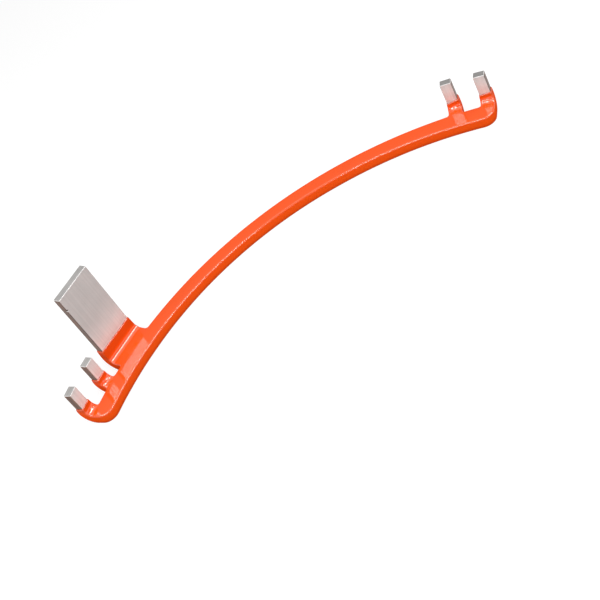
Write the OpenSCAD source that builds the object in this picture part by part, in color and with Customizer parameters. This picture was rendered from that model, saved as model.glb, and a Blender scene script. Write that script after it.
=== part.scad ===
// Insulated copper busbar: a curved flat bar with four winding prongs and one
// terminal plate on its outer edge, all cut from copper plate as one piece and
// folded up square to the bar. A dipped coat covers it except for the ends of
// the prongs and of the plate, which are bare and tinned.

/* [Copper bar] */
// Thickness of the copper plate that the conductor is cut from
stock_t = 4; // [3:0.1:5]
// Width of the curved bar, along the radius of its curve
bar_w = 7.4; // [6:0.1:10]
// Radius of the curve at the middle of the bar's width
bar_r = 176.9; // [150:0.1:240]
// Outer corner radius where each end of the bar turns into its prong
corner_r = 5.3; // [4:0.1:5.5]
// Rounding of the copper's long edges
edge_r = 0.35; // [0.1:0.05:0.8]

/* [Prongs and plate] */
// Angle between the two end prongs, seen from the centre of the curve
span = 80.7; // [60:0.1:110]
// Angle between the two prongs of each pair
pair_pitch = 5.1; // [4.5:0.05:6]
// Angle from the left end prong to the terminal plate
plate_pitch = 11.8; // [11.5:0.05:40]
// Width of a winding prong
prong_w = 5.5; // [4:0.1:7]
// Height of the prongs above the bar's copper
prong_h = 15.6; // [12:0.1:30]
// Width of the terminal plate
plate_w = 21.4; // [12:0.1:24]
// Height of the terminal plate above the bar's copper
plate_h = 45.5; // [25:0.1:80]
// Distance from the bar's outer edge to the inner face of the left pair of prongs
left_reach = 4.2; // [4:0.1:12]
// Distance from the bar's outer edge to the inner face of the terminal plate
plate_reach = 7.9; // [4:0.1:16]
// Distance from the bar's outer edge to the inner face of the right inner prong
inner_reach = 6.6; // [4:0.1:12]
// Distance from the bar's outer edge to the inner face of the right end prong
end_reach = 5.2; // [4:0.1:12]
// Rounding in plan between the bar's outer edge and the root of a finger
root_r = 0.8; // [0.3:0.1:1.5]
// Inside radius of the folds
fold_r = 3.3; // [1.5:0.1:3.6]
// Rounding of the edges round the cut tips
tip_r = 0.3; // [0.1:0.05:0.6]
// Thickness of the tin on the bare ends
tin_t = 0.05; // [0.02:0.01:0.1]

/* [Coat] */
// Thickness of the insulating coat
coat_t = 0.8; // [0.5:0.05:1.2]
// Rounding of the coat over the copper's edges
coat_edge_r = 0.9; // [0.6:0.05:1.6]
// Height of the coat on the prongs, above the bar's copper
prong_coat_h = 5.3; // [4.5:0.05:10]
// Height of the coat on the terminal plate, above the bar's copper
plate_coat_h = 8.5; // [4.5:0.1:22]
// Rounding of the coat's rim where it ends on a prong or on the plate
rim_r = 0.5; // [0.2:0.05:0.7]

/* [Hidden] */
$fn = 48;

// Everything is drawn round the middle of the copper's thickness, with the
// centre of the curve on the Z axis and the middle of the bar at +Y
half_t = stock_t / 2;
bar_in_r = bar_r - bar_w / 2;
bar_out_r = bar_r + bar_w / 2;
fold_mid = fold_r + half_t;
// Centre of the rounded end corner, beside the end prong's own radius
corner_x = corner_r - prong_w / 2;
corner_y = bar_in_r + corner_r;
// Angle by which the curved bar runs on past the middle of each end prong
overrun = asin(0.4 * prong_w / bar_r);
// Where the roots start inside the bar, clear of the rounding of its inner edge
start_y = bar_in_r + max(edge_r, coat_edge_r - coat_t) + 0.2;
// How far a root rounding is let into the bar and the finger that it joins
blend = 0.05;
// How much rounder the fingers' long edges are than the bar's, so that no two
// roundings end at the same point
ease = 0.06;

// Each finger: angle, width, reach, sides with a root rounding, tip height, coat height
fingers = [
    [-span / 2, prong_w, left_reach, [1], prong_h, prong_coat_h],
    [-span / 2 + pair_pitch, prong_w, left_reach, [-1, 1], prong_h, prong_coat_h],
    [-span / 2 + plate_pitch, plate_w, plate_reach, [-1, 1], plate_h, plate_coat_h],
    [span / 2 - pair_pitch, prong_w, inner_reach, [-1, 1], prong_h, prong_coat_h],
    [span / 2, prong_w, end_reach, [-1], prong_h, prong_coat_h]
];

// How far along X the coated fold of an end prong stands from the middle of the curve
function end_x(reach) = coat_edge_r
    + (bar_out_r + reach + stock_t + coat_t - coat_edge_r) * sin(span / 2)
    + (prong_w / 2 + coat_t - coat_edge_r) * cos(span / 2);

// The part stands on its coat, with its box centred on the origin
low_y = corner_y * cos(span / 2) + corner_x * sin(span / 2) - corner_r - coat_t;
high_y = bar_out_r + coat_t;
base = [(end_x(left_reach) - end_x(end_reach)) / 2, -(low_y + high_y) / 2, coat_t + half_t];

copper_color = [0.78, 0.74, 0.71];
coat_color = [0.95, 0.32, 0.1];

// Rectangle with rounded corners, centred
module section(w, t, r) {
    square([w - 2 * r, t], center = true);
    square([w, t - 2 * r], center = true);
    for (x = [-1, 1], y = [-1, 1])
        translate([x * (w / 2 - r), y * (t / 2 - r)]) circle(r);
}

// Half of a rounded rectangle, from the axis of a corner out to its rim
module rim_section(radius, t, r) {
    intersection() {
        section(2 * radius, t, r);
        translate([0, -t]) square([2 * radius, 2 * t]);
    }
}

// Curved bar, from inside one end prong to inside the other
module curved_bar(w, t, r) {
    rotate([0, 0, 90 - span / 2 - overrun])
        rotate_extrude(angle = span + 2 * overrun, $fn = 360)
            translate([bar_r, 0]) section(w, t, r);
}

// What is cut away outside the rounded corners at both ends of the bar
module corner_waste(radius, t, r) {
    for (side = [-1, 1])
        mirror([(side + 1) / 2, 0, 0])
            rotate([0, 0, span / 2]) translate([corner_x, corner_y, 0])
                difference() {
                    translate([-3 * radius, -3 * radius, -t]) cube([3 * radius, 3 * radius, 2 * t]);
                    rotate_extrude() rim_section(radius, t, r);
                }
}

// Round hollow with flared ends, which rounds an inside corner and its two edges
module spool(radius, t, r) {
    rotate_extrude() {
        translate([0, -t]) square([radius, 2 * t]);
        for (end = [-1, 1])
            difference() {
                translate([0, end * t / 2 - r]) square([radius + r, 2 * r]);
                translate([radius + r, end * (t / 2 - r)]) circle(r);
            }
    }
}

// Rounding in plan beside the root of one finger, on its side towards +X
module root_round(w) {
    inside = w / 2 - 2 * edge_r;
    x = w / 2 + root_r;
    y = sqrt(pow(bar_out_r + root_r, 2) - x * x);
    low = (bar_out_r - 2 * edge_r) / (bar_out_r + root_r);
    difference() {
        linear_extrude(stock_t, center = true)
            polygon([[inside, y], [x, y], [x * low, y * low], [inside, y * low]]);
        translate([x, y, 0]) spool(root_r + blend, stock_t, edge_r + ease / 2);
    }
}

// Standing strip with rounded long edges and its top edges rounded by top_r
module upright(w, t, r, height, top_r) {
    intersection() {
        linear_extrude(height) section(w, t, r);
        rotate([90, 0, 0]) linear_extrude(2 * t, center = true) section(w, 2 * height, top_r);
        rotate([90, 0, 90]) linear_extrude(2 * w, center = true) section(t, 2 * height, top_r);
    }
}

// Root along the radius and fold of one finger, grown by g on every side
module fold(f, g, r) {
    w = f[1] + 2 * g;
    t = stock_t + 2 * g;
    bend_y = bar_out_r + f[2] - fold_r;
    translate([0, start_y, 0]) rotate([-90, 0, 0]) linear_extrude(bend_y - start_y) section(w, t, r);
    translate([0, bend_y, fold_mid]) rotate([0, 90, 0])
        rotate_extrude(angle = 90) translate([fold_mid, 0]) section(t, w, r);
}

// Places its children where a finger stands, at the top of its fold
module on_fold(f) {
    rotate([0, 0, -f[0]]) translate([0, bar_out_r + f[2] + half_t, fold_mid]) children();
}

// Curved bar with the roots and folds of all fingers, grown by g on every side
module body(g, r) {
    difference() {
        union() {
            curved_bar(bar_w + 2 * g, stock_t + 2 * g, r);
            for (f = fingers) rotate([0, 0, -f[0]]) fold(f, g, r + ease);
        }
        corner_waste(corner_r + g, stock_t + 2 * g, r);
    }
}

module conductor() {
    color(copper_color) translate(base) {
        body(0, edge_r);
        for (f = fingers, side = f[3])
            rotate([0, 0, -f[0]]) mirror([(1 - side) / 2, 0, 0]) root_round(f[1]);
        for (f = fingers) on_fold(f) {
            linear_extrude(f[5] - fold_r + half_t) section(f[1], stock_t, edge_r + ease);
            translate([0, 0, f[5] - fold_r])
                upright(f[1] + 2 * tin_t, stock_t + 2 * tin_t, edge_r + ease, f[4] - f[5], tip_r);
        }
    }
}

module insulation() {
    color(coat_color) difference() {
        translate(base) {
            body(coat_t, coat_edge_r);
            for (f = fingers) on_fold(f)
                upright(f[1] + 2 * coat_t, stock_t + 2 * coat_t, coat_edge_r + ease, f[5] - fold_r, rim_r);
        }
        conductor();
    }
}

conductor();
insulation();
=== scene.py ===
import math
from collections import namedtuple

import bmesh
import bpy
from bpy.props import FloatProperty, FloatVectorProperty, IntProperty, PointerProperty
from bpy.types import Operator, Panel, PropertyGroup
from mathutils import Matrix, Vector, noise


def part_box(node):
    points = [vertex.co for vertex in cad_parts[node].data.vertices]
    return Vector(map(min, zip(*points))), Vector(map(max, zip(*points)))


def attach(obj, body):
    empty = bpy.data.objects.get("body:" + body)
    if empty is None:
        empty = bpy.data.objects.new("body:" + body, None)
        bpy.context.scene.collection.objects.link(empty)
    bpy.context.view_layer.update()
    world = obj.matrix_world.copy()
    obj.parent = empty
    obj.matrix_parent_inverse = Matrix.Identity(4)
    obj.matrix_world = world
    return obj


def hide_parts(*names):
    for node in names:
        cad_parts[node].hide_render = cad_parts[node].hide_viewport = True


bl_info = {
    "name": "Insulated Busbar",
    "version": (1, 0, 0),
    "blender": (4, 5, 0),
    "location": "View3D > Sidebar > Busbar",
    "description": "Dip coat, bare tinned ends and a plain studio for a folded copper busbar",
    "category": "Add Mesh",
}

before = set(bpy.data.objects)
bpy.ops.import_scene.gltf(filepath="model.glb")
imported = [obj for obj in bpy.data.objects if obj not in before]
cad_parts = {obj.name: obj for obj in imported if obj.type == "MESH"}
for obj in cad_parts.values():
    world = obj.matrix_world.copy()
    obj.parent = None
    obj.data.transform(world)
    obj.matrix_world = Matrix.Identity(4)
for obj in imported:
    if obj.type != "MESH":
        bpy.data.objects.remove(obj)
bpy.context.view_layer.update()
MM = 0.001
UP = Vector((0, 0, 1))
# Points closer than this count as one
SAME_POINT = 0.001 * MM
# Room in a search, so that it takes in the points on its border
SLACK = 0.12 * MM
# Share of a full value that still counts as it
NEARLY = 0.9
# Edges that turn by more than this get a rounding
ROUND_FROM = math.radians(45)
# Edges that still turn by more than this are shaded sharp
CREASE_FROM = math.radians(50)
# Segments of the roundings at the bar's corners, the roots, the long edges and the rims
CORNER_STEPS = 10
ROOT_STEPS = 4
EDGE_STEPS = 4
RIM_STEPS = 3
# Segments of the round nick
NICK_STEPS = 24
# Cosines at which a surface starts to count as facing a way, and counts in full
FACING = (0.6, 0.85)
# Place of the terminal plate among the fingers
PLATE = 2

# One finger: its angle along the curve, width and reach, the height and the lean of the coat's
# rim on it, and the depth of the puckers in its fold
Finger = namedtuple("Finger", "angle width reach rim lean pucker")


class BusbarSizes(PropertyGroup):
    """Sizes of the copper and of its coat."""

    stock: FloatProperty(
        name="Stock", description="Thickness of the copper plate",
        default=4 * MM, unit="LENGTH")
    bar_width: FloatProperty(
        name="Bar width", description="Width of the curved bar along the radius of its curve",
        default=7.4 * MM, unit="LENGTH")
    bar_radius: FloatProperty(
        name="Bar radius", description="Radius of the curve at the middle of the bar",
        default=176.9 * MM, unit="LENGTH")
    corner_radius: FloatProperty(
        name="Corner radius", description="Outer corner where the bar turns into an end prong",
        default=5.3 * MM, unit="LENGTH")
    span: FloatProperty(
        name="Span", description="Angle between the two end prongs",
        default=math.radians(80.7), subtype="ANGLE")
    pair_pitch: FloatProperty(
        name="Pair pitch", description="Angle between the two prongs of a pair",
        default=math.radians(5.1), subtype="ANGLE")
    plate_pitch: FloatProperty(
        name="Plate pitch", description="Angle from the left end prong to the terminal plate",
        default=math.radians(11.8), subtype="ANGLE")
    prong_width: FloatProperty(
        name="Prong width", description="Width of a winding prong",
        default=5.5 * MM, unit="LENGTH")
    plate_width: FloatProperty(
        name="Plate width", description="Width of the terminal plate",
        default=21.4 * MM, unit="LENGTH")
    left_reach: FloatProperty(
        name="Left reach", description="Bar's outer edge to the inner face of the left prongs",
        default=4.2 * MM, unit="LENGTH")
    plate_reach: FloatProperty(
        name="Plate reach", description="Bar's outer edge to the inner face of the plate",
        default=7.9 * MM, unit="LENGTH")
    inner_reach: FloatProperty(
        name="Inner reach", description="Bar's outer edge to the right inner prong",
        default=6.6 * MM, unit="LENGTH")
    end_reach: FloatProperty(
        name="End reach", description="Bar's outer edge to the right end prong",
        default=5.2 * MM, unit="LENGTH")
    fold_radius: FloatProperty(
        name="Fold radius", description="Inside radius of the copper's folds",
        default=3.3 * MM, unit="LENGTH")
    coat: FloatProperty(
        name="Coat", description="Thickness of the dipped coat",
        default=0.8 * MM, unit="LENGTH")
    coat_edge: FloatProperty(
        name="Coat edge", description="Rounding of the coat over the copper's edges",
        default=0.75 * MM, unit="LENGTH")
    root_round: FloatProperty(
        name="Root rounding", description="Rounding in plan of the coat beside a finger's root",
        default=1.2 * MM, unit="LENGTH")
    rim_round: FloatProperty(
        name="Rim rounding", description="Rounding of the rim where the coat ends",
        default=0.5 * MM, unit="LENGTH")
    prong_rim: FloatProperty(
        name="Prong rim", description="Height of the coat on a prong, above the bar's copper",
        default=5.3 * MM, unit="LENGTH")
    plate_rim: FloatProperty(
        name="Plate rim", description="Height of the coat on the plate, above the bar's copper",
        default=8.5 * MM, unit="LENGTH")
    nick_height: FloatProperty(
        name="Nick height", description="Height of the nick in the plate's left edge",
        default=40.6 * MM, unit="LENGTH")
    nick_radius: FloatProperty(
        name="Nick radius", description="Radius of that nick",
        default=0.7 * MM, unit="LENGTH")
    nick_depth: FloatProperty(
        name="Nick depth", description="How deep it goes into the corner",
        default=0.5 * MM, unit="LENGTH")
    left_flare: FloatProperty(
        name="Left flare", description="How far the coat's outer edge stands out at the left end",
        default=0.7 * MM, unit="LENGTH")
    right_flare: FloatProperty(
        name="Right flare", description="How far the coat's outer edge stands out at the right end",
        default=1.3 * MM, unit="LENGTH")
    slim: FloatProperty(
        name="Slimming", description="How far the coat's inner edge stands back near the middle",
        default=0.3 * MM, unit="LENGTH")
    slim_at: FloatProperty(
        name="Slimmest at", description="Angle along the curve at which it stands back most",
        default=math.radians(-7), subtype="ANGLE")
    slim_half: FloatProperty(
        name="Slim half", description="Angle over which the slimming fades on either side",
        default=math.radians(20), subtype="ANGLE")
    thinning: FloatProperty(
        name="Thinning", description="How much thinner the coat is at its rims",
        default=0.35 * MM, unit="LENGTH")
    wander: FloatProperty(
        name="Wander", description="How far the rims stray from a straight line",
        default=0.45 * MM, unit="LENGTH")
    lean: FloatProperty(
        name="Lean", description="How much lower the right rims lie towards the plate",
        default=1.2 * MM, unit="LENGTH")
    pucker: FloatProperty(
        name="Pucker", description="Depth of the wrinkles inside the folds of the prongs",
        default=0.7 * MM, unit="LENGTH")
    pucker_length: FloatProperty(
        name="Pucker length", description="Length of those wrinkles",
        default=1.2 * MM, unit="LENGTH")
    pucker_steps: IntProperty(
        name="Pucker steps", description="Strips that a prong's coat is cut into lengthwise",
        default=6, min=1, max=12)
    fold_steps: IntProperty(
        name="Fold steps", description="Cuts across each fold",
        default=8, min=2, max=24)
    segment: FloatProperty(
        name="Segment", description="Length of one segment of the curved bar",
        default=4 * MM, unit="LENGTH")
    wave: FloatProperty(
        name="Wave", description="Height of the waves that the dipping left in the coat",
        default=0.012 * MM, unit="LENGTH")
    wave_length: FloatProperty(
        name="Wave length", description="Length of those waves",
        default=7 * MM, unit="LENGTH")
    smoothness: IntProperty(
        name="Smoothness", description="Subdivision levels of the coat",
        default=2, min=0, max=3)


class BusbarFinish(PropertyGroup):
    """Colours and gloss of the two finishes, and where they change."""

    coat_color: FloatVectorProperty(
        name="Coat", description="Colour of the dipped coat",
        default=(0.95, 0.094, 0.008), subtype="COLOR")
    coat_roughness: FloatProperty(
        name="Coat roughness", description="Roughness of the coat's skin",
        default=0.06, min=0, max=1)
    tin_color: FloatVectorProperty(
        name="Tinned face", description="Colour of the broad tinned faces",
        default=(0.68, 0.62, 0.60), subtype="COLOR")
    side_color: FloatVectorProperty(
        name="Cut side", description="Colour of the sheared sides of the fingers",
        default=(0.11, 0.053, 0.032), subtype="COLOR")
    tip_color: FloatVectorProperty(
        name="Cut tip", description="Colour of the cut tips of the fingers",
        default=(0.4, 0.387, 0.376), subtype="COLOR")
    # Painted highlight: near-white colour along the edges round the tips
    edge_highlight_color: FloatVectorProperty(
        name="Tip edge", description="Colour of the burnished edges round the tips",
        default=(0.86, 0.84, 0.83), subtype="COLOR")
    # Painted shade: the coat's underside is darkened towards the floor
    shade_height: FloatProperty(
        name="Shade height", description="Height up to which the coat's underside is darker",
        default=3 * MM, unit="LENGTH")
    # Painted shade: a darker band on the upright coat below the rims
    upright_shade_from: FloatProperty(
        name="Thin from", description="Height from which the coat is darker because it is thin",
        default=7 * MM, unit="LENGTH")
    upright_shade_to: FloatProperty(
        name="Thin to", description="Height at which the thin coat is darkest",
        default=9.5 * MM, unit="LENGTH")
    # The tinned faces grow darker higher up
    darken_from: FloatProperty(
        name="Dull from", description="Height from which the tinned faces are duller",
        default=14 * MM, unit="LENGTH")
    darken_to: FloatProperty(
        name="Dull to", description="Height at which the tinned faces are dullest",
        default=32 * MM, unit="LENGTH")
    dark_tips: FloatProperty(
        name="Dark tips", description="Distance to the right at which the cut tips are darkest",
        default=50 * MM, unit="LENGTH")
    # Painted shade in the nick's hollow, over the cut copper's own colour
    nick_dark: FloatProperty(
        name="Nick dark", description="Distance from the nick's middle up to which it is dark",
        default=0.4 * MM, unit="LENGTH")
    nick_fade: FloatProperty(
        name="Nick fade", description="Distance from the nick's middle at which the dark ends",
        default=0.8 * MM, unit="LENGTH")


class BusbarStage(PropertyGroup):
    """Camera, light and floor."""

    eye: FloatVectorProperty(
        name="Eye", description="Where the camera stands",
        default=(-66.53 * MM, -418.13 * MM, 320.97 * MM), subtype="TRANSLATION")
    aim: FloatVectorProperty(
        name="Aim", description="What the camera looks at",
        default=(-15.23 * MM, -51.2 * MM, 10 * MM), subtype="TRANSLATION")
    roll: FloatProperty(
        name="Roll", description="How far the camera leans to its side",
        default=math.radians(-32.937), subtype="ANGLE")
    lens: FloatProperty(
        name="Lens", description="Focal length on a 36 mm sensor, in millimetres",
        default=65.435)
    horizon: FloatProperty(
        name="Horizon", description="Light that comes from all round",
        default=0.12, min=0)
    haze: FloatProperty(
        name="Haze", description="Further light close to the horizon, behind the floor",
        default=0.75, min=0)
    overhead: FloatProperty(
        name="Overhead", description="Light that comes from above",
        default=0.8, min=0)
    box_power: FloatProperty(
        name="Soft boxes", description="Power of each soft box, in watts",
        default=3.3, min=0)
    box_width: FloatProperty(
        name="Soft box width", description="Width of each soft box",
        default=0.8, unit="LENGTH")
    box_height: FloatProperty(
        name="Soft box height", description="Height of each soft box",
        default=0.12, unit="LENGTH")
    box_distance: FloatProperty(
        name="Soft box distance", description="Distance of each soft box from the bar",
        default=0.7, unit="LENGTH")
    box_rise: FloatProperty(
        name="Soft box rise", description="How high each soft box stands, seen from the bar",
        default=math.radians(48), subtype="ANGLE")
    box_azimuth: FloatProperty(
        name="Soft box azimuth", description="How far each soft box stands to its side",
        default=math.radians(52), subtype="ANGLE")
    floor_size: FloatProperty(
        name="Floor size", description="Half the length of the floor's sides",
        default=50, unit="LENGTH")
    floor_bounce: FloatProperty(
        name="Floor bounce", description="Share of the light that the floor throws back",
        default=0.35, min=0, max=1)
    floor_shadow: FloatProperty(
        name="Floor shadow", description="Share of the seen floor that follows light and shadow",
        default=0.3, min=0, max=1)
    floor_glow: FloatProperty(
        name="Floor glow", description="Share of the seen floor that stays bright",
        default=0.75, min=0, max=1)


def sizes():
    return bpy.context.scene.busbar_sizes


def finish():
    return bpy.context.scene.busbar_finish


def fingers(s):
    """The five fingers from left to right."""
    half = s.span / 2
    return [
        Finger(-half, s.prong_width, s.left_reach, s.prong_rim, 0, s.pucker),
        Finger(-half + s.pair_pitch, s.prong_width, s.left_reach, s.prong_rim, 0, s.pucker),
        Finger(-half + s.plate_pitch, s.plate_width, s.plate_reach, s.plate_rim, 0, 0),
        Finger(half - s.pair_pitch, s.prong_width, s.inner_reach, s.prong_rim, s.lean, s.pucker),
        Finger(half, s.prong_width, s.end_reach, s.prong_rim, s.lean / 2, s.pucker),
    ]


def bar_edge(s):
    """Radius of the bar's outer edge."""
    return s.bar_radius + s.bar_width / 2


def curve_centre(s):
    """Centre of the bar's curve at the middle of its thickness, found from the coat's box."""
    low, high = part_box("insulation")
    uneven = (s.left_reach - s.end_reach) * math.sin(s.span / 2)
    x = (low.x + high.x + uneven) / 2
    y = high.y - bar_edge(s) - s.coat
    return Vector((x, y, s.coat + s.stock / 2))


def half_angle(finger, s):
    """Half of the angle that a coated finger takes up on the bar's outer side."""
    return math.asin((finger.width / 2 + s.coat) / (bar_edge(s) + s.coat))


def turned(finger):
    """Matrix that turns +Y to a finger's radius."""
    return Matrix.Rotation(-finger.angle, 4, "Z")


def verts_of(geom):
    return [v for v in geom if isinstance(v, bmesh.types.BMVert)]


def curved_blank(bm, s):
    """Curved bar with its section square, cut into segments at the sides of each finger."""
    section = Matrix.Diagonal((s.bar_width + 2 * s.coat, s.stock + 2 * s.coat, 1, 1))
    stand = Matrix(((0, 0, 1, 0), (1, 0, 0, s.bar_radius), (0, 1, 0, 0), (0, 0, 0, 1)))
    stops = [f.angle + side * half_angle(f, s) for f in fingers(s) for side in (-1, 1)]
    place = Matrix.Rotation(-stops[0], 4, "Z") @ stand @ section
    bmesh.ops.create_grid(bm, x_segments=1, y_segments=1, size=0.5, matrix=place)
    end = list(bm.faces)
    for low, high in zip(stops, stops[1:]):
        steps = max(1, int((high - low) * s.bar_radius / s.segment))
        end = bmesh.ops.spin(
            bm, geom=end, cent=(0, 0, 0), axis=(0, 0, -1), angle=high - low, steps=steps,
        )["geom_last"]
    bmesh.ops.recalc_face_normals(bm, faces=bm.faces)
    flare_bar(bm, s)
    square_end(bm, fingers(s)[0], -1, s)
    square_end(bm, fingers(s)[-1], 1, s)


def flare_bar(bm, s):
    """Lets the coat stand out more towards the bar's ends and back near its middle."""
    for v in bm.verts:
        way = Vector((v.co.x, v.co.y, 0))
        angle = math.atan2(way.x, way.y)
        if way.length > s.bar_radius:
            flare = s.right_flare if angle > 0 else s.left_flare
            shift = flare * min(1, (2 * angle / s.span) ** 2)
        else:
            shift = s.slim * max(0, 1 - ((angle - s.slim_at) / s.slim_half) ** 2)
        v.co += way.normalized() * shift


def square_end(bm, finger, side, s):
    """Lays the bar's end in line with the outer side of its end prong."""
    turn = turned(finger)
    limit = finger.width / 2 + s.coat
    for v in bm.verts:
        local = turn.inverted() @ v.co
        if side * local.x > NEARLY * limit and local.y > 0:
            local.x = side * limit
            v.co = turn @ local


def outward(face):
    """How far a face looks away from the centre of the curve, from -1 to 1."""
    middle = face.calc_center_median()
    return face.normal.dot(Vector((middle.x, middle.y, 0)).normalized())


def root_faces(bm, finger, s):
    """Faces of the bar's outer side that a finger grows from."""
    reach = half_angle(finger, s)
    found = []
    for face in bm.faces:
        middle = face.calc_center_median()
        angle = math.atan2(middle.x, middle.y)
        if outward(face) > NEARLY and abs(angle - finger.angle) < reach:
            found.append(face)
    return found


def fold_start(finger, s):
    """Distance from the centre of the curve at which a finger's fold starts."""
    return bar_edge(s) + finger.reach - s.fold_radius


def fold_length(s):
    """Length of a fold along the middle of the copper."""
    return (s.fold_radius + s.stock / 2) * math.pi / 2


def strip_length(finger, s):
    """Length of a finger's coat from the start of the fold to the rim."""
    return fold_length(s) + finger.rim - s.fold_radius


def grow_finger(bm, finger, s):
    """Coated finger, still straight along its radius."""
    turn = turned(finger)
    faces = root_faces(bm, finger, s)
    grown = bmesh.ops.extrude_face_region(bm, geom=faces)["geom"]
    bmesh.ops.delete(bm, geom=faces, context="FACES")
    for v in verts_of(grown):
        local = turn.inverted() @ v.co
        local.y = fold_start(finger, s) + strip_length(finger, s)
        v.co = turn @ local


def sharp_edges(bm):
    return [e for e in bm.edges if e.calc_face_angle(0) > ROUND_FROM]


def round_edges(bm, edges, radius, segments):
    bmesh.ops.bevel(
        bm, geom=edges, offset=radius, offset_type="OFFSET", affect="EDGES",
        segments=segments, profile=0.5, material=-1,
    )


def round_plan(bm, s):
    """Rounds the bar's two end corners and the inside corners beside the fingers' roots."""
    across = [e for e in sharp_edges(bm) if abs(e.verts[0].co.z - e.verts[1].co.z) > s.stock]
    inner = [e for e in across if e.verts[0].co.xy.length < s.bar_radius]
    roots = [e for e in across if not e.is_convex]
    round_edges(bm, inner, s.corner_radius + s.coat, CORNER_STEPS)
    round_edges(bm, roots, s.root_round, ROOT_STEPS)


def rim_edges(bm, s):
    """Edges round the end of each straight finger, which lie well past the bar's own outer side."""
    far = bar_edge(s) + 3 * s.coat
    ends = [f for f in bm.faces if outward(f) > NEARLY and f.calc_center_median().xy.length > far]
    edges = {e for f in ends for e in f.edges}
    return [e for e in sharp_edges(bm) if e in edges]


def finger_verts(bm, finger, s):
    """Vertices of a straight finger and of the roundings beside its root."""
    back = turned(finger).inverted()
    reach = finger.width / 2 + s.coat + s.root_round + SLACK
    found = []
    for v in bm.verts:
        local = back @ v.co
        if abs(local.x) < reach and local.y > bar_edge(s):
            found.append(v)
    return found


def cut_finger(bm, finger, point, normal, s):
    """Cuts a straight finger along a plane, given with +Y as the finger's radius."""
    turn = turned(finger)
    faces = {f for v in finger_verts(bm, finger, s) for f in v.link_faces}
    edges = {e for f in faces for e in f.edges}
    verts = {v for f in faces for v in f.verts}
    bmesh.ops.bisect_plane(
        bm, geom=[*faces, *edges, *verts], dist=SAME_POINT,
        plane_co=turn @ Vector(point), plane_no=turn @ Vector(normal))


def cut_steps(bm, finger, s):
    """Cuts a straight finger into the steps of its fold and a prong into strips too."""
    for step in range(s.fold_steps + 1):
        at = fold_start(finger, s) + fold_length(s) * step / s.fold_steps
        cut_finger(bm, finger, (0, at, 0), (0, 1, 0), s)
    strips = s.pucker_steps if finger.pucker else 1
    for step in range(1, strips):
        at = (step / strips - 0.5) * (finger.width + 2 * s.coat)
        cut_finger(bm, finger, (at, 0, 0), (1, 0, 0), s)


def fold_up(bm, finger, s):
    """Bends a finger up square to the bar, its coat getting thinner towards the rim."""
    turn = turned(finger)
    start = fold_start(finger, s)
    length = fold_length(s)
    middle = s.fold_radius + s.stock / 2
    for v in finger_verts(bm, finger, s):
        local = turn.inverted() @ v.co
        past = local.y - start
        if past > 0:
            share = (past / strip_length(finger, s)) ** 2
            thinner = s.thinning * share
            local.x *= 1 - thinner / (finger.width / 2 + s.coat)
            arm = middle - local.z * (1 - thinner / (s.stock / 2 + s.coat))
            angle = min(past, length) / middle
            if local.z > s.stock / 2:
                pucker = noise.noise(Vector((local.x, past, finger.angle)) / s.pucker_length)
                arm += finger.pucker * pucker * math.sin(2 * angle)
            stray = s.wander * noise.noise(v.co / s.wave_length)
            tilt = finger.lean * (local.x / finger.width - 0.5)
            local.y = start + arm * math.sin(angle)
            local.z = middle - arm * math.cos(angle) + max(0, past - length)
            local.z += (stray + tilt) * share
            v.co = turn @ local


def make_coat_blank(s):
    """The coat's outer form as a closed mesh round the centre of the curve."""
    bm = bmesh.new()
    curved_blank(bm, s)
    for finger in fingers(s):
        grow_finger(bm, finger, s)
    bmesh.ops.recalc_face_normals(bm, faces=bm.faces)
    round_plan(bm, s)
    rims = set(rim_edges(bm, s))
    round_edges(bm, [e for e in sharp_edges(bm) if e not in rims], s.coat_edge, EDGE_STEPS)
    round_edges(bm, rim_edges(bm, s), s.rim_round, RIM_STEPS)
    for finger in fingers(s):
        cut_steps(bm, finger, s)
        fold_up(bm, finger, s)
    bmesh.ops.translate(bm, verts=bm.verts, vec=curve_centre(s))
    return bm


def make_object(name, bm):
    mesh = bpy.data.meshes.new(name)
    bm.to_mesh(mesh)
    bm.free()
    obj = bpy.data.objects.new(name, mesh)
    bpy.context.scene.collection.objects.link(obj)
    return obj


def bake_modifiers(obj):
    """Gives an object the mesh that its modifiers make, and removes them."""
    bpy.context.view_layer.update()
    evaluated = obj.evaluated_get(bpy.context.evaluated_depsgraph_get())
    mesh = bpy.data.meshes.new_from_object(evaluated)
    obj.modifiers.clear()
    obj.data = mesh


def subdivide(obj, levels):
    smooth = obj.modifiers.new("Smooth skin", "SUBSURF")
    smooth.levels = levels
    smooth.render_levels = levels
    bake_modifiers(obj)


def ripple(obj, height, length):
    """Lets the skin sink a little here and there, as a dipped coat does."""
    verts = obj.data.vertices
    shifts = [v.normal * height * (noise.noise(v.co / length) - 1) for v in verts]
    for v, shift in zip(verts, shifts):
        v.co += shift


def merged_copy(node, name):
    """Copy of a CAD node with its loose triangles merged."""
    bm = bmesh.new()
    bm.from_mesh(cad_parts[node].data)
    bmesh.ops.remove_doubles(bm, verts=bm.verts, dist=SAME_POINT)
    return make_object(name, bm)


def take_out(obj, cutter):
    """Takes the space of a cutter out of an object and removes the cutter."""
    cut = obj.modifiers.new("Take out", "BOOLEAN")
    cut.operation = "DIFFERENCE"
    cut.solver = "MANIFOLD"
    cut.object = cutter
    bake_modifiers(obj)
    bpy.data.objects.remove(cutter)


class Signal:
    """Output of a shader node that can be used in Python sums."""

    def __init__(self, graph, socket):
        self.graph = graph
        self.socket = socket

    def math(self, operation, first, second):
        return self.graph.node("ShaderNodeMath", {"operation": operation}, {0: first, 1: second})

    def __add__(self, other):
        return self.math("ADD", self, other)

    def __radd__(self, other):
        return self.math("ADD", other, self)

    def __sub__(self, other):
        return self.math("SUBTRACT", self, other)

    def __rsub__(self, other):
        return self.math("SUBTRACT", other, self)

    def __mul__(self, other):
        return self.math("MULTIPLY", self, other)

    def __rmul__(self, other):
        return self.math("MULTIPLY", other, self)

    def __abs__(self):
        return self.graph.node("ShaderNodeMath", {"operation": "ABSOLUTE"}, {0: self})


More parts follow.
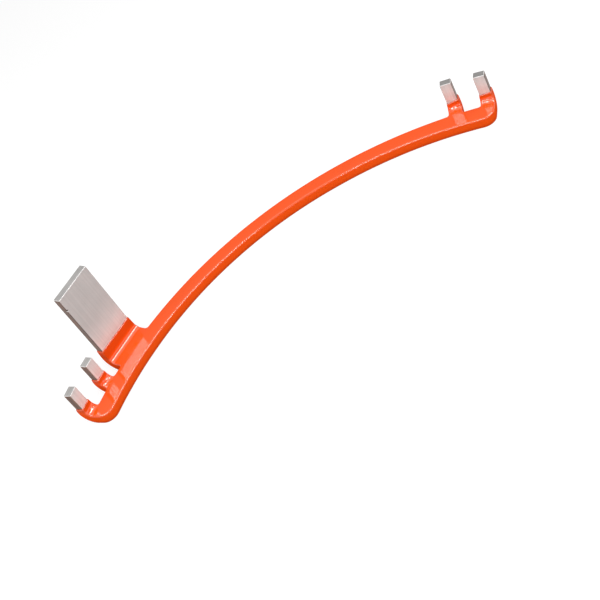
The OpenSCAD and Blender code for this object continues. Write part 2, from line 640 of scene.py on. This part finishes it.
class Graph:
    """Node tree of a material or of the world."""

    def __init__(self, owner):
        owner.use_nodes = True
        self.tree = owner.node_tree
        self.tree.nodes.clear()

    def node(self, kind, settings=None, inputs=None, output=0):
        """Adds a node with its settings and the values or links of its sockets."""
        made = self.tree.nodes.new(kind)
        for name, value in (settings or {}).items():
            setattr(made, name, value)
        for key, value in (inputs or {}).items():
            if isinstance(value, Signal):
                self.tree.links.new(value.socket, made.inputs[key])
            else:
                made.inputs[key].default_value = value
        return Signal(self, made.outputs[output]) if made.outputs else None

    def step(self, value, low, high):
        """0 below low and 1 above high, smooth between them."""
        return self.node(
            "ShaderNodeMapRange", {"interpolation_type": "SMOOTHSTEP"},
            {"Value": value, "From Min": low, "From Max": high})

    def mix(self, factor, first, second):
        """Colour between two colours."""
        return self.node(
            "ShaderNodeMix", {"data_type": "RGBA"}, {0: factor, 6: first, 7: second}, output=2)

    def vector(self, operation, first, second=None, output=0):
        inputs = {0: first}
        if second is not None:
            inputs[1] = second
        return self.node("ShaderNodeVectorMath", {"operation": operation}, inputs, output)

    def along(self, vector, axis):
        """One coordinate of a vector."""
        return self.node("ShaderNodeSeparateXYZ", None, {0: vector}, output=axis)

    def place(self):
        """The point on the piece, in metres."""
        return self.node("ShaderNodeTexCoord", output="Object")

    def grain(self, place, scale, detail=2.0):
        """Noise from 0 to 1 whose grains number scale to the metre."""
        return self.node(
            "ShaderNodeTexNoise", None, {"Vector": place, "Scale": scale, "Detail": detail})


def rgba(color, gain=1.0):
    return (color[0] * gain, color[1] * gain, color[2] * gain, 1.0)


def grey(level):
    return rgba((level, level, level))


def coat_material(f):
    """Orange coat with painted shade underneath and on the upright coat below the rims, glossiest
    where it lay uppermost.
    """
    material = bpy.data.materials.new("dip_coat")
    g = Graph(material)
    place = g.place()
    mottle = g.grain(place, scale=90)
    height = g.along(place, "Z")
    # Painted shade: the coat darkens towards the floor, standing in for the shade underneath
    lit = g.step(height, low=0, high=f.shade_height)
    # Painted shade: the upright coat below the rims is darkened, standing in for the shade there
    upright_shade = g.step(height, low=f.upright_shade_from, high=f.upright_shade_to)
    color = g.mix(mottle, rgba(f.coat_color, gain=0.96), rgba(f.coat_color, gain=1.03))
    color = g.mix(lit, rgba(f.coat_color, gain=0.7), color)
    color = g.mix(upright_shade * 0.7, color, rgba(f.coat_color, gain=0.65))
    skin = g.grain(place, scale=700)
    bump = g.node(
        "ShaderNodeBump", None, {"Strength": 0.3, "Distance": 0.03 * MM, "Height": skin})
    normal = g.node("ShaderNodeTexCoord", output="Normal")
    upward = g.vector("DOT_PRODUCT", normal, tuple(UP), output="Value")
    shader = g.node("ShaderNodeBsdfPrincipled", None, {
        "Base Color": color,
        "Roughness": 0.4,
        "Specular IOR Level": 0.0,
        "Coat Weight": g.step(upward, low=0, high=0.35),
        "Coat Roughness": f.coat_roughness,
        "Coat IOR": 2.1,
        "Normal": bump,
    })
    g.node("ShaderNodeOutputMaterial", None, {"Surface": shader})
    return material


def nick_place(s):
    """Where the plate's left edge has a nick."""
    plate = fingers(s)[PLATE]
    corner = turned(plate) @ Vector((-plate.width / 2, bar_edge(s) + plate.reach, 0))
    return curve_centre(s) + corner + UP * s.nick_height


def nick_cutter(s):
    """Small round bar that lies flat across the corner of the plate's left edge."""
    turn = turned(fingers(s)[PLATE])
    out = turn @ Vector((-1, -1, 0)).normalized()
    middle = nick_place(s) + out * (s.nick_radius - s.nick_depth)
    lying = Matrix.Rotation(math.radians(45), 4, "Z") @ Matrix.Rotation(math.radians(90), 4, "X")
    bm = bmesh.new()
    bmesh.ops.create_cone(
        bm, cap_ends=True, segments=NICK_STEPS, radius1=s.nick_radius, radius2=s.nick_radius,
        depth=s.stock, matrix=Matrix.Translation(middle) @ turn @ lying)
    return make_object("nick_cutter", bm)


def tin_material(f, s):
    """Bare ends: brushed tin on the broad faces, darker sheared sides, pale cut tips, painted
    highlights on the edges round the tips and painted shade in the nick.
    """
    material = bpy.data.materials.new("tinned_copper")
    g = Graph(material)
    place = g.place()
    normal = g.node("ShaderNodeNewGeometry", output="Normal")
    from_centre = g.vector("SUBTRACT", place, tuple(curve_centre(s)))
    from_axis = g.vector("MULTIPLY", from_centre, (1, 1, 0))
    radius = g.vector("NORMALIZE", from_axis)
    ring = g.node("ShaderNodeCombineXYZ", None, {0: g.vector("LENGTH", from_axis, output="Value")})
    facing = abs(g.vector("DOT_PRODUCT", normal, radius, output="Value"))
    upward = g.vector("DOT_PRODUCT", normal, tuple(UP), output="Value")
    is_face = g.step(facing, *FACING)
    is_tip = g.step(upward, *FACING)
    drawn_up = g.vector("MULTIPLY", place, (1, 1, 0.02))
    brushed = g.grain(drawn_up, scale=1300, detail=4.0)
    cloud = g.grain(place, scale=160, detail=3.0)
    streak = (brushed - 0.5) * 0.9 + (cloud - 0.5) * 0.4
    east = g.along(place, "X")
    height = g.along(place, "Z")
    # Tinned faces darker higher up
    upper_darkening = g.step(height, low=f.darken_from, high=f.darken_to)
    tin = g.mix(streak + 0.5, rgba(f.tin_color, gain=0.8), rgba(f.tin_color, gain=1.2))
    tin = g.mix(upper_darkening * 0.33, tin, rgba(f.tin_color, gain=0.2))
    bands = (g.grain(ring, scale=900) - 0.5) * 3.5 + cloud
    side = g.mix(bands, rgba(f.side_color, gain=0.3), rgba(f.side_color, gain=2.2))
    sheared = (g.grain(ring, scale=1500, detail=3.0) - 0.5) * 1.4 + cloud
    rightmost = g.step(east, low=0, high=f.dark_tips)
    tip = g.mix(sheared, rgba(f.tip_color, gain=0.65), rgba(f.tip_color, gain=1.2))
    tip = g.mix(rightmost * 0.4, tip, rgba(f.tip_color, gain=0.2))
    # Painted highlight: the edges between the sides and the tips are painted near white
    off_side = g.step(upward, low=0.2, high=0.5)
    on_tip = g.step(upward, low=0.8, high=0.97)
    highlit = off_side * (1 - on_tip)
    color = g.mix(is_tip, g.mix(is_face, side, tin), tip)
    color = g.mix(highlit, color, rgba(f.edge_highlight_color))
    # Dark mark round the nick: the cut copper's own colour, darkened further as painted shade in
    # the hollow
    from_nick = g.vector("DISTANCE", place, tuple(nick_place(s)), output="Value")
    in_nick = 1 - g.step(from_nick, low=f.nick_dark, high=f.nick_fade)
    color = g.mix(in_nick * 0.8, color, rgba(f.side_color, gain=0.6))
    bump = g.node(
        "ShaderNodeBump", None, {"Strength": 0.25, "Distance": 0.02 * MM, "Height": brushed})
    shader = g.node("ShaderNodeBsdfPrincipled", None, {
        "Base Color": color,
        "Metallic": 0.05 + is_face * 0.3,
        "Roughness": 0.3 + cloud * 0.12,
        "Specular IOR Level": 0.25,
        "Normal": bump,
    })
    g.node("ShaderNodeOutputMaterial", None, {"Surface": shader})
    return material


def seen_directly(g):
    """1 for camera, glossy and transmission rays."""
    seen = [
        g.node("ShaderNodeLightPath", output=name)
        for name in ("Is Camera Ray", "Is Glossy Ray", "Is Transmission Ray")
    ]
    return g.node("ShaderNodeClamp", None, {"Value": seen[0] + seen[1] + seen[2]})


def floor_material(stage):
    """White floor that shows a faint shadow."""
    material = bpy.data.materials.new("floor_white")
    g = Graph(material)
    matt = g.node("ShaderNodeBsdfDiffuse", None, {"Color": grey(stage.floor_bounce)})
    faint = g.node("ShaderNodeBsdfDiffuse", None, {"Color": grey(stage.floor_shadow)})
    white = g.node("ShaderNodeEmission", None, {"Strength": stage.floor_glow})
    shown = g.node("ShaderNodeAddShader", None, {0: faint, 1: white})
    shader = g.node("ShaderNodeMixShader", None, {0: seen_directly(g), 1: matt, 2: shown})
    g.node("ShaderNodeOutputMaterial", None, {"Surface": shader})
    return material


def light_world(stage):
    """Broad soft light overhead, dim lower down, with pale haze along the horizon."""
    world = bpy.data.worlds.new("studio")
    g = Graph(world)
    way = g.node("ShaderNodeTexCoord", output="Generated")
    height = g.along(way, "Z")
    above = g.step(height, low=0.5, high=1.0) * (stage.overhead - stage.horizon)
    haze = (1 - g.step(height, low=0.05, high=0.2)) * stage.haze
    strength = above + haze + stage.horizon
    shader = g.node("ShaderNodeBackground", None, {"Color": grey(1.0), "Strength": strength})
    g.node("ShaderNodeOutputWorld", None, {"Surface": shader})
    bpy.context.scene.world = world


def soft_box(name, azimuth, stage):
    """Long area light that faces the bar."""
    light = bpy.data.lights.new(name, "AREA")
    light.shape = "RECTANGLE"
    light.energy = stage.box_power
    light.size = stage.box_width
    light.size_y = stage.box_height
    lamp = bpy.data.objects.new(name, light)
    level = math.cos(stage.box_rise)
    way = Vector((math.sin(azimuth) * level, -math.cos(azimuth) * level, math.sin(stage.box_rise)))
    lamp.location = way * stage.box_distance
    lamp.rotation_euler = way.to_track_quat("Z", "Y").to_euler()
    bpy.context.scene.collection.objects.link(lamp)


def set_camera(stage):
    camera = bpy.data.objects.new("camera", bpy.data.cameras.new("camera"))
    camera.data.lens = stage.lens
    camera.data.clip_start = 10 * MM
    camera.location = stage.eye
    way = Vector(stage.aim) - Vector(stage.eye)
    level = way.to_track_quat("-Z", "Y").to_matrix().to_4x4()
    camera.rotation_euler = (level @ Matrix.Rotation(stage.roll, 4, "Z")).to_euler()
    bpy.context.scene.collection.objects.link(camera)
    bpy.context.scene.camera = camera


class BUSBAR_OT_bare_ends(Operator):
    """Copies the copper, nicks its plate and gives it tinned, brushed and sheared surfaces"""

    bl_idname = "busbar.bare_ends"
    bl_label = "Bare ends"

    def execute(self, context):
        s = sizes()
        copper = merged_copy("conductor", "tinned_conductor")
        take_out(copper, nick_cutter(s))
        copper.data.shade_flat()
        copper.data.materials.clear()
        copper.data.materials.append(tin_material(finish(), s))
        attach(copper, "root")
        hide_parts("conductor")
        return {"FINISHED"}


class BUSBAR_OT_dip_coat(Operator):
    """Models the dipped coat and lets it stand for the plain one"""

    bl_idname = "busbar.dip_coat"
    bl_label = "Dip coat"

    def execute(self, context):
        s = sizes()
        coat = make_object("dip_coat", make_coat_blank(s))
        subdivide(coat, s.smoothness)
        ripple(coat, s.wave, s.wave_length)
        take_out(coat, merged_copy("conductor", "conductor_copy"))
        coat.data.shade_smooth()
        coat.data.set_sharp_from_angle(angle=CREASE_FROM)
        coat.data.materials.clear()
        coat.data.materials.append(coat_material(finish()))
        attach(coat, "root")
        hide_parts("insulation")
        return {"FINISHED"}


class BUSBAR_OT_stage(Operator):
    """Sets the floor, the light and the camera"""

    bl_idname = "busbar.stage"
    bl_label = "Stage"

    def execute(self, context):
        stage = context.scene.busbar_stage
        bm = bmesh.new()
        bmesh.ops.create_grid(bm, x_segments=1, y_segments=1, size=stage.floor_size)
        floor = make_object("floor", bm)
        floor.data.materials.append(floor_material(stage))
        light_world(stage)
        soft_box("soft_box_left", -stage.box_azimuth, stage)
        soft_box("soft_box_right", stage.box_azimuth, stage)
        set_camera(stage)
        context.scene.view_settings.view_transform = "Standard"
        return {"FINISHED"}


class BUSBAR_PT_panel(Panel):
    """Offers the busbar's steps and settings"""

    bl_idname = "BUSBAR_PT_panel"
    bl_label = "Insulated busbar"
    bl_space_type = "VIEW_3D"
    bl_region_type = "UI"
    bl_category = "Busbar"

    def draw(self, context):
        for operator in OPERATORS:
            self.layout.operator(operator.bl_idname)
        for name in GROUPS:
            group = getattr(context.scene, name)
            box = self.layout.box()
            for prop in group.bl_rna.properties.keys():
                if prop not in ("rna_type", "name"):
                    box.prop(group, prop)


GROUPS = {
    "busbar_sizes": BusbarSizes,
    "busbar_finish": BusbarFinish,
    "busbar_stage": BusbarStage,
}
OPERATORS = (BUSBAR_OT_bare_ends, BUSBAR_OT_dip_coat, BUSBAR_OT_stage)


def register():
    for cls in (*GROUPS.values(), *OPERATORS, BUSBAR_PT_panel):
        bpy.utils.register_class(cls)
    for name, cls in GROUPS.items():
        setattr(bpy.types.Scene, name, PointerProperty(type=cls))


def unregister():
    for name in GROUPS:
        delattr(bpy.types.Scene, name)
    for cls in (BUSBAR_PT_panel, *OPERATORS, *GROUPS.values()):
        bpy.utils.unregister_class(cls)


def main():
    register()
    bpy.ops.busbar.stage()
    bpy.ops.busbar.bare_ends()
    bpy.ops.busbar.dip_coat()


if __name__ == "__main__":
    main()
